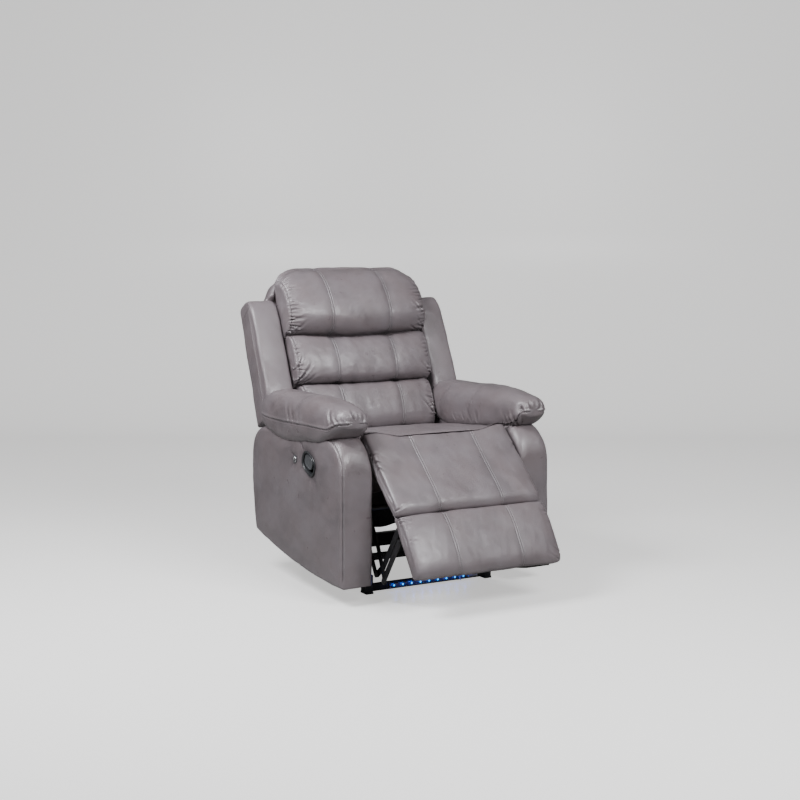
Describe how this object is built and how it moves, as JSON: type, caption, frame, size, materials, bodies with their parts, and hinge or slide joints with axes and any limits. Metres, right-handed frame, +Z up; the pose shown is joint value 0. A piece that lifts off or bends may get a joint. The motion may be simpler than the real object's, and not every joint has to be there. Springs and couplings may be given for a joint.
{
  "type": "recliner chair",
  "caption": "Upholstered recliner armchair with pillow arms, a three-pillow back, wings, a scissor-link leg rest, a recessed pull handle and a lit front bar.",
  "frame": {"origin": "centre of the chair's footprint box, on the floor", "axes": "+Z up, -Y the way that the sitter faces, +X towards the sitter's left"},
  "size_m": [0.815, 1.067, 1.0209],
  "materials": {
    "grey_leather": "soft satin synthetic leather, mid grey",
    "dark_cloth": "matt woven lining",
    "black_plastic": "fine-grained moulding",
    "bright_steel": "bright metal",
    "black_steel": "black powder coat",
    "spring_steel": "oiled wire",
    "plywood": "raw plywood",
    "aluminium": "drawn channel",
    "light_strip": "lit blue-white light strip"
  },
  "bodies": {
    "base": {"arm_right": "grey_leather", "arm_left": "grey_leather", "arm_pad_right": "grey_leather", "arm_pad_left": "grey_leather", "lining_right": "dark_cloth", "lining_left": "dark_cloth", "handle_bezel": "black_plastic", "button_bezel": "black_plastic", "release_cable": "black_plastic", "slide_rail_right": "black_steel", "slide_rail_left": "black_steel", "side_rail_right": "black_steel", "side_rail_left": "black_steel", "foot_front_right": "black_plastic", "foot_front_left": "black_plastic", "foot_rear_right": "black_plastic", "foot_rear_left": "black_plastic", "front_tube": "black_steel", "mid_tube": "black_steel", "rear_tube": "black_steel", "rear_skirt": "dark_cloth", "led_channel": "aluminium", "led_strip": "light_strip", "led_driver": "black_plastic"},
    "seat": {"seat_cushion": "grey_leather", "seat_plate_right": "black_steel", "seat_plate_left": "black_steel", "seat_rail_front": "black_steel", "seat_rail_rear": "black_steel", "seat_springs": "spring_steel"},
    "back": {"back_panel": "grey_leather", "wing_right": "grey_leather", "wing_left": "grey_leather", "back_frame_right": "plywood", "back_frame_left": "plywood", "back_rail_top": "plywood", "back_rail_low": "plywood", "back_bracket_right": "black_steel", "back_bracket_left": "black_steel", "headrest": "grey_leather", "back_cushion_mid": "grey_leather", "back_cushion_low": "grey_leather"},
    "footrest": {"bridge_pad": "grey_leather", "footrest_pad": "grey_leather", "bridge_board": "plywood", "footrest_board": "plywood", "footrest_bracket_right": "black_steel", "footrest_bracket_left": "black_steel"},
    "front_links": {"front_link_right": "black_steel", "front_link_left": "black_steel", "torque_tube": "black_steel"},
    "rear_link_r": {"rear_link_right": "black_steel"},
    "rear_link_l": {"rear_link_left": "black_steel"},
    "upper_link_r": {"upper_link_right": "black_steel"},
    "upper_link_l": {"upper_link_left": "black_steel"},
    "lower_link_r": {"lower_link_right": "black_steel"},
    "lower_link_l": {"lower_link_left": "black_steel"},
    "lever": {"lever_paddle": "black_plastic"},
    "button": {"led_button": "bright_steel"},
    "latch": {"release_latch": "black_steel"}
  },
  "joints": [
    {"name": "seat_slide", "type": "slide", "parent": "base", "child": "seat", "axis": [0, -1, 0], "range_m": [0, 0.04]},
    {"name": "back_recline", "type": "hinge", "parent": "seat", "child": "back", "pos_m": [0, 0.29595, 0.345], "axis": [-1, 0, 0], "range_deg": [0, 35]},
    {"name": "footrest_swing", "type": "hinge", "parent": "seat", "child": "footrest", "pos_m": [0, -0.27905, 0.42], "axis": [1, 0, 0], "range_deg": [-42, 35]},
    {"name": "front_link_swing", "type": "hinge", "parent": "seat", "child": "front_links", "pos_m": [0, -0.18005, 0.28], "axis": [1, 0, 0], "range_deg": [-42, 35]},
    {"name": "rear_link_swing_r", "type": "hinge", "parent": "seat", "child": "rear_link_r", "pos_m": [-0.2425, -0.14005, 0.249], "axis": [1, 0, 0], "range_deg": [-42, 35]},
    {"name": "rear_link_swing_l", "type": "hinge", "parent": "seat", "child": "rear_link_l", "pos_m": [0.2425, -0.14005, 0.249], "axis": [1, 0, 0], "range_deg": [-42, 35]},
    {"name": "upper_link_swing_r", "type": "hinge", "parent": "front_links", "child": "upper_link_r", "pos_m": [-0.2375, -0.27605, 0.112], "axis": [1, 0, 0], "range_deg": [-35, 42]},
    {"name": "upper_link_swing_l", "type": "hinge", "parent": "front_links", "child": "upper_link_l", "pos_m": [0.2375, -0.27605, 0.112], "axis": [1, 0, 0], "range_deg": [-35, 42]},
    {"name": "lower_link_swing_r", "type": "hinge", "parent": "front_links", "child": "lower_link_r", "pos_m": [-0.2477, -0.29305, 0.07], "axis": [1, 0, 0], "range_deg": [-35, 42]},
    {"name": "lower_link_swing_l", "type": "hinge", "parent": "front_links", "child": "lower_link_l", "pos_m": [0.2477, -0.29305, 0.07], "axis": [1, 0, 0], "range_deg": [-35, 42]},
    {"name": "lever_pull", "type": "hinge", "parent": "base", "child": "lever", "pos_m": [-0.38475, -0.04586, 0.40197], "axis": [0, -0.682, -0.7314], "range_deg": [0, 32], "stiffness_Nm_per_rad": 0.3},
    {"name": "button_press", "type": "slide", "parent": "base", "child": "button", "axis": [1, 0, 0], "range_m": [0, 0.0025], "stiffness_N_per_m": 400},
    {"name": "latch_swing", "type": "hinge", "parent": "seat", "child": "latch", "pos_m": [-0.257, -0.06405, 0.3], "axis": [1, 0, 0], "range_deg": [0, 12]}
  ],
  "couplings": [
    {"joint": "seat_slide", "follows": "back_recline", "m_per_rad": 0.06548},
    {"joint": "front_link_swing", "follows": "footrest_swing", "ratio": 1},
    {"joint": "rear_link_swing_r", "follows": "footrest_swing", "ratio": 1},
    {"joint": "rear_link_swing_l", "follows": "footrest_swing", "ratio": 1},
    {"joint": "upper_link_swing_r", "follows": "footrest_swing", "ratio": -1},
    {"joint": "upper_link_swing_l", "follows": "footrest_swing", "ratio": -1},
    {"joint": "lower_link_swing_r", "follows": "footrest_swing", "ratio": -1},
    {"joint": "lower_link_swing_l", "follows": "footrest_swing", "ratio": -1},
    {"joint": "latch_swing", "follows": "lever_pull", "ratio": 0.33}
  ]
}
